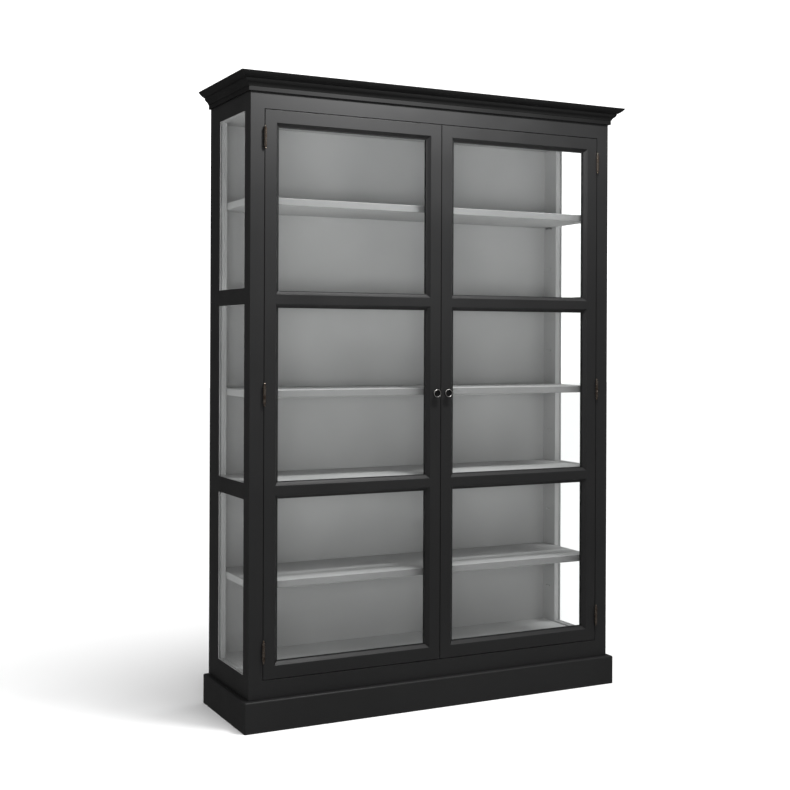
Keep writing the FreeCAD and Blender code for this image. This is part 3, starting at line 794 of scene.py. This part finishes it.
@dataclass
class Cornice:
    """Crown moulding: a convex lip over an ogee over a flat bed, mitred at the front corners."""

    finishes: Finishes
    lip_height: float = 20 * MM
    lip_bow: float = 2.5 * MM
    ogee_out: float = 24 * MM
    ogee_bow: float = 1.2 * MM
    bed_out: float = 8 * MM
    bed_height: float = 14 * MM
    step: float = 1.5 * MM
    nose: float = 0.8 * MM

    def section(self, overhang: float, top: float, bottom: float) -> Outline:
        """Closed outline in (distance out from the body, height).

        Args:
            overhang: reach of the lip.
            top: height of the top edge.
            bottom: height of the bed's underside.

        Returns:
            Rows of two numbers.
        """
        lip_foot = (self.ogee_out + self.step, top - self.lip_height)
        ogee_top = (self.ogee_out, top - self.lip_height - 2 * self.step)
        ogee_foot = (self.bed_out + self.step, bottom + self.bed_height + self.step)
        middle = tuple((np.array(ogee_top) + np.array(ogee_foot)) / 2)
        nose = (overhang - self.nose, top)
        under_nose = (overhang, top - self.nose)
        return np.concatenate([
            arc(nose, under_nose, QUARTER_BOW * self.nose, 3),
            arc(under_nose, lip_foot, self.lip_bow, 12)[1:],
            [(self.ogee_out, lip_foot[1])],
            arc(ogee_top, middle, self.ogee_bow, 8),
            arc(middle, ogee_foot, -self.ogee_bow, 8)[1:],
            [(self.bed_out, ogee_foot[1])],
            arc((self.bed_out, bottom + self.nose), (self.bed_out - self.nose, bottom),
                QUARTER_BOW * self.nose, 2),
            [(0.0, bottom), (0.0, top)],
        ])

    def build(self) -> None:
        """Makes the front run and the two side runs."""
        body_low, body_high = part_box("top_board")
        front_low, front_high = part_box("cornice_front")
        overhang = body_low.y - front_low.y
        outline = self.section(overhang, front_high.z, front_low.z)
        left, right = body_low.x, body_high.x
        front, back = body_low.y, body_high.y
        up = np.array([[0, 0, 1.0], [0, 0, 1.0]])
        runs = {
            "front": carried(outline, np.array([[left, front, 0], [right, front, 0]]),
                             np.array([[-1.0, -1.0, 0], [1.0, -1.0, 0]]), up),
            "left": carried(outline, np.array([[left, back, 0], [left, front, 0]]),
                            np.array([[-1.0, 0, 0], [-1.0, -1.0, 0]]), up),
            "right": carried(outline, np.array([[right, front, 0], [right, back, 0]]),
                             np.array([[1.0, -1.0, 0], [1.0, 0, 0]]), up),
        }
        for name, surface in runs.items():
            piece = surface.to_object("cornice_%s_moulding" % name, SHARP_CURVED_DEG)
            grain = Grain.ACROSS if name == "front" else Grain.DEEP
            # The darker black of the moulding is painted shade.
            fit_out(piece, Body.CASE, self.finishes.cornice_paint[grain],
                    ["cornice_" + name])


@dataclass
class Plinth:
    """Base surround of three shown boards, a back board and hidden glue blocks."""

    finishes: Finishes
    arris: float = 0.8 * MM

    def build(self) -> None:
        """Makes the boards and dresses the blocks."""
        grains = {"front": Grain.ACROSS, "left": Grain.DEEP, "right": Grain.DEEP, "back": Grain.ACROSS}
        for name, grain in grains.items():
            piece = solid_copy("plinth_" + name, "plinth_%s_board" % name, self.arris)
            fit_out(piece, Body.CASE, self.finishes.black_paint[grain],
                    ["plinth_" + name])
        dress(bpy.data.objects["plinth_blocks"], self.finishes.timber)


@dataclass
class CaseFrame:
    """Posts, rails and boards of the case, black outside and grey inside."""

    finishes: Finishes
    arris: float = 1.2 * MM
    fine_arris: float = 0.4 * MM

    def joints(self) -> list[tuple[int, float]]:
        """Planes where boards meet flush: the opening's sides and the side frames' uprights."""
        post_low, post_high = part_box("front_post_left")
        rear_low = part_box("rear_post_left")[0]
        return [(0, post_high.x), (0, -post_high.x), (1, post_high.y), (1, rear_low.y)]

    def build(self) -> None:
        """Makes an eased copy of every board and post."""
        black, grey, both = self.finishes.black_paint, self.finishes.grey_paint, self.finishes.two_tone
        wide, fine = self.arris, self.fine_arris
        paired = [
            ("front_post", Slot.BLACK_PAINT, both[Grain.UPRIGHT], wide),
            ("rear_post", Slot.BLACK_PAINT, both[Grain.UPRIGHT], wide),
            ("side_rails", Slot.BLACK_PAINT, both[Grain.DEEP], fine),
            ("side_beads", Slot.GREY_PAINT, grey[Grain.UPRIGHT], fine),
        ]
        single = [
            ("face_bottom_rail", Slot.BLACK_PAINT, black[Grain.ACROSS], fine),
            ("face_top_rail", Slot.BLACK_PAINT, black[Grain.ACROSS], fine),
            # The top board's darker black is painted shade.
            ("top_board", Slot.BLACK_PAINT, self.finishes.cornice_paint[Grain.ACROSS], fine),
            # The floor board's lighter grey is painted light.
            ("floor_board", Slot.GREY_PAINT, self.finishes.floor_paint, fine),
            ("ceiling_board", Slot.GREY_PAINT, grey[Grain.ACROSS], fine),
            ("back_panel", Slot.GREY_PAINT, both[Grain.UPRIGHT], fine),
        ]
        joints = self.joints()
        plan = [("%s_%s" % (node, hand.name.lower()), *rest) for node, *rest in paired for hand in Hand]
        for node, slot, material, arris in plan + single:
            piece = solid_copy(node, node + "_painted", arris, joints)
            fit_out(piece, Body.CASE, material, [node])
        for hand in Hand:
            dress(bpy.data.objects["side_panes_" + hand.name.lower()], self.finishes.glass)
        dress(bpy.data.objects["case_screws"], self.finishes.steel)
        dress(bpy.data.objects["catches"], self.finishes.plastic)


@dataclass
class Shelving:
    """Five loose boards with rounded arrises on steel pins."""

    finishes: Finishes
    count: int = 5
    arris: float = 2.5 * MM

    def build(self) -> None:
        """Makes each shelf from its box in the frame."""
        for number in range(1, self.count + 1):
            node = "shelf_%d" % number
            low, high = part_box(node)
            piece = rounded_block(low, high, self.arris).to_object(node + "_board", SHARP_FLAT_DEG)
            # The shelf's darker front edge is painted shade.
            fit_out(piece, Body.CASE, self.finishes.shelf_paint, [node])
        dress(bpy.data.objects["shelf_pins"], self.finishes.steel)


@dataclass
class Hinges:
    """Butt hinges: eased copies of the frame's leaves and of its ball-tipped pins."""

    finishes: Finishes
    arris: float = 0.35 * MM
    pin_arris: float = 0.175 * MM

    def build(self) -> None:
        """Makes the leaves and pins."""
        bronze = self.finishes.bronze
        for node, arris in (("hinge_post_leaves", self.arris), ("hinge_pins", self.pin_arris)):
            piece = solid_copy(node, node + "_worn", arris)
            fit_out(piece, Body.CASE, bronze, [node])
        for body in (Body.LEFT_DOOR, Body.RIGHT_DOOR):
            node = body.value + "_hinge_leaves"
            piece = solid_copy(node, node + "_worn", self.arris)
            fit_out(piece, body, bronze, [node])


@dataclass
class Knob:
    """Turned knob with a dished dark face inside a polished rim."""

    finishes: Finishes
    body: Body
    base_radius: float = 9 * MM
    base_height: float = 2 * MM
    base_round: float = 0.5 * MM
    base_taper: float = 0.8 * MM
    base_bow: float = 0.3 * MM
    neck_radius: float = 5.5 * MM
    neck_start: float = 1.5 * MM
    neck_end: float = 4 * MM
    neck_bow: float = 0.5 * MM
    flare_start: float = 3 * MM
    flare_hollow: float = 1.6 * MM
    head_round: float = 0.6 * MM
    head_bow: float = 0.2 * MM
    lip_height: float = 1.2 * MM
    lip_width: float = 1.1 * MM
    lip_bow: float = 0.45 * MM
    lip_flat: float = 0.2 * MM
    rim_width: float = 1.7 * MM
    rim_height: float = 3.2 * MM
    rim_seat: float = 0.3 * MM
    dish: float = 0.9 * MM
    dish_bow: float = 0.25 * MM
    spokes: int = 64

    def profiles(self, radius: float, out: float) -> tuple[np.ndarray, np.ndarray]:
        """Profiles of the dark body and of the rim, as (radius, distance out of the door).

        Args:
            radius: radius of the head.
            out: how far the rim stands out of the door.

        Returns:
            Two arrays of rows of two numbers.
        """
        rim_foot = out - self.rim_height
        inner = radius - self.rim_width
        neck, base_top = self.neck_radius, self.base_height
        dark = np.concatenate([
            [(0.0, 0.0), (self.base_radius - self.base_round, 0.0)],
            arc((self.base_radius, self.base_round), (self.base_radius - self.base_taper, base_top),
                self.base_bow, 5),
            arc((neck, base_top + self.neck_start), (neck, rim_foot - self.neck_end), self.neck_bow, 6),
            arc((neck + self.base_round, rim_foot - self.flare_start),
                (radius - self.head_round, rim_foot), -self.flare_hollow, 8),
            arc((inner, out - self.dish), (0.0, out - 2 * self.dish), self.dish_bow, 8),
        ])
        lip_top = radius - self.lip_width
        rim = np.concatenate([
            arc((radius - self.head_round, rim_foot), (radius, rim_foot + self.head_round),
                self.head_bow, 3),
            arc((radius, out - self.lip_height), (lip_top, out), self.lip_bow, 6),
            arc((lip_top - self.lip_flat, out), (inner, out - self.dish), self.head_bow, 4),
            [(inner - self.lip_flat, rim_foot + self.rim_seat)],
        ])
        return dark, rim

    def build(self) -> None:
        """Makes the knob's body and its rim."""
        node = self.body.value + "_knob"
        low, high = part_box(node)
        centre = ((low.x + high.x) / 2, high.y, (low.z + high.z) / 2)
        radius, out = (high.x - low.x) / 2, high.y - low.y
        dark, rim = self.profiles(radius, out)
        body = turned(dark, centre, (0, -1, 0), self.spokes).to_object(node + "_turned", SHARP_TURNED_DEG)
        fit_out(body, self.body, self.finishes.dark_metal, [node])
        ring = np.concatenate([rim, rim[:1]])
        rim_piece = turned(ring, centre, (0, -1, 0), self.spokes).to_object(node + "_rim", SHARP_TURNED_DEG)
        fit_out(rim_piece, self.body, self.finishes.rim_metal)


@dataclass
class Door:
    """Glazed door: flat stiles and rails with a bevelled moulding mitred round each pane."""

    finishes: Finishes
    hand: Hand
    bevel_width: float = 11 * MM
    bevel_depth: float = 12 * MM
    bevel_hollow: float = 0.35 * MM
    step: float = 2 * MM
    lip: float = 3 * MM
    rebate: float = 10 * MM
    arris: float = 1.0 * MM
    body: Body = field(init=False)

    def __post_init__(self) -> None:
        """Finds the door's body from its hand."""
        self.body = Body.LEFT_DOOR if self.hand is Hand.LEFT else Body.RIGHT_DOOR

    def part(self, name: str) -> str:
        """Frame name of one of the door's pieces."""
        return "%s_%s" % (self.body.value, name)

    @property
    def moulding_width(self) -> float:
        """Distance from the glass that shows to the flat of the frame."""
        return self.bevel_width + self.step

    def board_section(self, width: float, thick: float, outer: bool) -> Outline:
        """Section of a stile or rail in (across the width, depth), its outer arrises eased.

        Args:
            width: width of the flat.
            thick: thickness of the door.
            outer: whether the first edge is an outer edge of the door.

        Returns:
            Rows of two numbers.
        """
        corners = np.array([(0, 0), (width, 0), (width, thick), (0, thick)], float)
        eased = self.arris if outer else 0.0
        return eased_corners(corners, [eased, 0.0, 0.0, eased])

    def build_boards(self) -> None:
        """Makes the two stiles and the four cross members, each from its box in the frame."""
        wide = self.moulding_width
        black = self.finishes.black_paint
        for name in ("hinge_stile", "meeting_stile"):
            low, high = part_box(self.part(name))
            from_left = (name == "hinge_stile") == (self.hand is Hand.LEFT)
            start_x, sign = (low.x, 1.0) if from_left else (high.x, -1.0)
            outline = self.board_section(high.x - low.x - wide, high.y - low.y, True)
            surface = straight_run(outline, (start_x, low.y, low.z), (start_x, low.y, high.z),
                                   (sign, 0, 0), (0, 1, 0))
            piece = surface.to_object(self.part(name) + "_flat", SHARP_FLAT_DEG)
            fit_out(piece, self.body, black[Grain.UPRIGHT], [self.part(name)])
        plan = {"bottom_rail": (False, True), "lower_bar": (True, True), "upper_bar": (True, True),
                "top_rail": (True, False)}
        for name, (below, above) in plan.items():
            low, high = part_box(self.part(name))
            bottom = low.z + (wide if below else 0.0)
            top = high.z - (wide if above else 0.0)
            outer = not (below and above)
            start_z, sign = (bottom, 1.0) if above else (top, -1.0)
            outline = self.board_section(top - bottom, high.y - low.y, outer)
            surface = straight_run(outline, (low.x - wide, low.y, start_z), (high.x + wide, low.y, start_z),
                                   (0, 0, sign), (0, 1, 0))
            piece = surface.to_object(self.part(name) + "_flat", SHARP_FLAT_DEG)
            fit_out(piece, self.body, black[Grain.ACROSS], [self.part(name)])

    def moulding_section(self, thick: float) -> Outline:
        """Section of the moulding in (distance out from the shown glass, depth).

        A slightly hollow bevel falls from the flat to a narrow step at the glass; behind it are
        the glass rebate and the back of the frame.

        Args:
            thick: thickness of the door.

        Returns:
            Rows of two numbers.
        """
        wide, foot = self.moulding_width, self.bevel_depth
        bevel = arc((wide, 0.0), (self.step, foot), -self.bevel_hollow, 6)
        rest = [(0.0, foot), (0.0, foot + self.lip), (self.rebate, foot + self.lip),
                (self.rebate, thick), (wide, thick)]
        return np.concatenate([bevel, rest])

    def build_mouldings(self) -> None:
        """Makes one closed, mitred moulding round each pane."""
        stile_low, stile_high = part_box(self.part("hinge_stile"))
        rail_low, rail_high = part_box(self.part("bottom_rail"))
        levels = [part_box(self.part(name)) for name in ("bottom_rail", "lower_bar", "upper_bar", "top_rail")]
        outline = self.moulding_section(stile_high.y - stile_low.y)
        corner_signs = np.array([[-1, 0, -1], [1, 0, -1], [1, 0, 1], [-1, 0, 1]], float)
        ups = np.array([[0, 1.0, 0]] * 4)
        for number, (below, above) in enumerate(zip(levels, levels[1:]), start=1):
            x0, x1 = rail_low.x, rail_high.x
            z0, z1 = below[1].z, above[0].z
            origins = np.array([[x0, stile_low.y, z0], [x1, stile_low.y, z0],
                                [x1, stile_low.y, z1], [x0, stile_low.y, z1]])
            surface = carried(outline, origins, corner_signs, ups, closed=True)
            piece = surface.to_object(self.part("moulding_%d" % number), SHARP_CURVED_DEG)
            fit_out(piece, self.body, self.finishes.black_paint[Grain.UPRIGHT])

    def build(self) -> None:
        """Makes the frame and mouldings and dresses what stays from the frame."""
        self.build_boards()
        self.build_mouldings()
        Knob(self.finishes, self.body).build()
        dress(bpy.data.objects[self.part("panes")], self.finishes.glass)
        dress(bpy.data.objects[self.part("beads")], self.finishes.black_paint[Grain.UPRIGHT])
        dress(bpy.data.objects[self.part("strike")], self.finishes.steel)
        dress(bpy.data.objects[self.part("screws")], self.finishes.steel)


# ---------------------------------------------------------------- studio

@dataclass(frozen=True)
class Softbox:
    """Rectangular soft light, aimed at a point."""

    name: str
    place: tuple[float, float, float]
    aim: tuple[float, float, float]
    width: float
    height: float
    power: float
    spread_deg: float = 180.0
    mirrored: bool = True

    def build(self) -> None:
        """Hangs the light; one that isn't mirrored shows in no reflection."""
        lamp = bpy.data.lights.new(self.name, "AREA")
        lamp.shape = "RECTANGLE"
        lamp.size, lamp.size_y, lamp.energy = self.width, self.height, self.power
        lamp.spread = math.radians(self.spread_deg)
        holder = bpy.data.objects.new(self.name, lamp)
        bpy.context.scene.collection.objects.link(holder)
        holder.location = self.place
        towards = Vector(self.aim) - Vector(self.place)
        holder.rotation_euler = towards.to_track_quat("-Z", "Y").to_euler()
        holder.visible_glossy = self.mirrored


KEY = Softbox("key", (0.12, -1.05, 2.9), (0.0, 0.6, 2.3), 0.5, 0.3, 48.0)
SIDE_FILL = Softbox("side_fill", (-1.9, -3.4, 1.2), (-0.2, 0.0, 1.9), 2.0, 0.8, 17.0, 100.0, mirrored=False)


@dataclass
class Studio:
    """White floor and background, soft lights and the camera."""

    eye: tuple[float, float, float] = (-2.2213, -4.2161, 1.3074)
    heading_deg: float = 26.78
    pitch_deg: float = -0.07
    roll_deg: float = 0.23
    lens_mm: float = 58.52
    rise: float = -0.0662
    sensor_mm: float = 36.0
    farthest: float = 200.0
    floor_half: float = 30.0
    floor_lines: int = 9
    sun_strength: float = 2.15
    gleam_strength: float = 0.35
    sun_soft_deg: float = 40.0
    sun_from: tuple[float, float, float] = (0.23, -0.29, 1.0)
    ambient: float = 0.45
    sheen: float = 0.10
    background: float = 1.5

    def build_camera(self) -> None:
        """Sets the camera, level and square on apart from its heading and a slight tilt."""
        heading, pitch, roll = (math.radians(a) for a in (self.heading_deg, self.pitch_deg, self.roll_deg))
        ahead = Vector((math.sin(heading) * math.cos(pitch), math.cos(heading) * math.cos(pitch),
                        math.sin(pitch)))
        level = Vector((math.cos(heading), -math.sin(heading), 0.0))
        upright = level.cross(ahead)
        right = level * math.cos(roll) + upright * math.sin(roll)
        up = right.cross(ahead)
        data = bpy.data.cameras.new("camera")
        data.lens, data.sensor_width, data.shift_y = self.lens_mm, self.sensor_mm, self.rise
        data.clip_end = self.farthest
        camera = bpy.data.objects.new("camera", data)
        turn = Matrix((right, up, -ahead)).transposed().to_4x4()
        camera.matrix_world = Matrix.Translation(self.eye) @ turn
        bpy.context.scene.collection.objects.link(camera)
        bpy.context.scene.camera = camera

    def build_floor(self) -> None:
        """Lays the paper floor, a flat grid at height nought."""
        lines = self.floor_lines
        steps = np.linspace(-self.floor_half, self.floor_half, lines)
        x, y = np.meshgrid(steps, steps, indexing="ij")
        points = np.stack([x, y, np.zeros_like(x)], axis=-1).reshape(-1, 3)
        mesh = bpy.data.meshes.new("studio_floor")
        quads = [quad[::-1] for quad in grid_polygons(lines, lines, False, False)]
        mesh.from_pydata(points.tolist(), [], quads)
        floor = bpy.data.objects.new("studio_floor", mesh)
        bpy.context.scene.collection.objects.link(floor)
        dress(floor, StudioPaper().build())
        floor.visible_glossy = False

    def build_lights(self) -> None:
        """Hangs the soft overhead sun, of which reflections show only a weak part, and the boxes."""
        for name, strength, mirrored in (("overhead", self.sun_strength, False),
                                         ("overhead_gleam", self.gleam_strength, True)):
            sun = bpy.data.lights.new(name, "SUN")
            sun.energy, sun.angle = strength, math.radians(self.sun_soft_deg)
            holder = bpy.data.objects.new(name, sun)
            holder.rotation_euler = (-Vector(self.sun_from)).to_track_quat("-Z", "Y").to_euler()
            holder.visible_glossy = mirrored
            bpy.context.scene.collection.objects.link(holder)
        KEY.build()
        SIDE_FILL.build()

    def build_background(self) -> None:
        """Whitens the background: brightest to the camera, dimmest in reflections."""
        world = bpy.data.worlds.new("white_background")
        world.use_nodes = True
        nodes, links = world.node_tree.nodes, world.node_tree.links
        backdrop = nodes["Background"]
        backdrop.inputs["Color"].default_value = (1.0, 1.0, 1.0, 1.0)
        ray = nodes.new("ShaderNodeLightPath")
        unseen, level = nodes.new("ShaderNodeMapRange"), nodes.new("ShaderNodeMapRange")
        links.new(ray.outputs["Is Glossy Ray"], unseen.inputs["Value"])
        unseen.inputs["To Min"].default_value = self.ambient
        unseen.inputs["To Max"].default_value = self.sheen
        links.new(ray.outputs["Is Camera Ray"], level.inputs["Value"])
        links.new(unseen.outputs["Result"], level.inputs["To Min"])
        level.inputs["To Max"].default_value = self.background
        links.new(level.outputs["Result"], backdrop.inputs["Strength"])
        bpy.context.scene.world = world
        bpy.context.scene.view_settings.view_transform = "Standard"

    def build(self) -> None:
        """Sets up the whole studio."""
        self.build_camera()
        self.build_floor()
        self.build_lights()
        self.build_background()


def case_inside(reveal: float = 1.5 * MM, past_post: float = 0.5 * MM,
                into_panel: float = 1 * MM) -> InnerSpace:
    """Space painted grey: behind the front posts, before the back and inside the outer faces.

    Args:
        reveal: how far inside the outer side faces the grey starts.
        past_post: how far before the backs of the front posts it starts.
        into_panel: how far into the back panel it reaches.

    Returns:
        The space.
    """
    outer_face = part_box("rear_post_right")[1].x
    return InnerSpace(outer_face - reveal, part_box("front_post_left")[1].y - past_post,
                      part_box("back_panel")[0].y + into_panel)


def behind_shelf_edges(edge: float = 1 * MM) -> InnerSpace:
    """Space behind the shelves' front edges, which keeps the plain grey; the front edges themselves get the
    darker grey, a painted shade.

    Args:
        edge: depth of the front that gets the darker grey, a painted shade standing in for less light on the
            edges.

    Returns:
        The space, wider and deeper than any shelf.
    """
    low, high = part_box("shelf_1")
    return InnerSpace(2 * high.x, low.y + edge, 2 * high.y)


def main(frame: Frame) -> None:
    """Builds every sub-assembly in order.
    """
    logging.basicConfig(level=logging.INFO, format="%(name)s: %(message)s")
    LOG.info("frame has %d nodes", len(frame["nodes"]))
    Studio().build()
    finishes = Finishes(case_inside(), behind_shelf_edges())
    for assembly in (Plinth, CaseFrame, Cornice, Shelving, Hinges):
        assembly(finishes).build()
    for hand in Hand:
        Door(finishes, hand).build()


if __name__ == "__main__":
    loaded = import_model()
    main(loaded)
